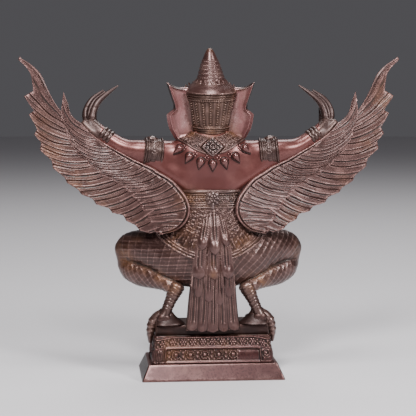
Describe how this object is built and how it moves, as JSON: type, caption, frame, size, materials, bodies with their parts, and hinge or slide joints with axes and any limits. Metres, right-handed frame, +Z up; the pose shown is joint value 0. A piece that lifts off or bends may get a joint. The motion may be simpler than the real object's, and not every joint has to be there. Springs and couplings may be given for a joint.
{
  "type": "winged garuda statue",
  "caption": "Cast bronze garuda squatting on a stepped plinth, wings spread, arms raised, with a crown and a long feathered tail; stands on its flat underside.",
  "frame": {"origin": "centre of the plinth's flat underside", "axes": "+Z up, +X along the wings to the figure's left, -Y the way the figure faces"},
  "size_m": [0.4554, 0.1014, 0.3929],
  "materials": {
    "figure_bronze": "dark reddish-brown patinated cast bronze, satin, worn brighter on the ridges, ochre in the recesses",
    "plinth_bronze": "dark reddish-brown patinated cast bronze, satin, smoother and lighter on the plain foot"
  },
  "bodies": {
    "root": {"garuda_figure": "figure_bronze", "plinth": "plinth_bronze"}
  },
  "joints": []
}
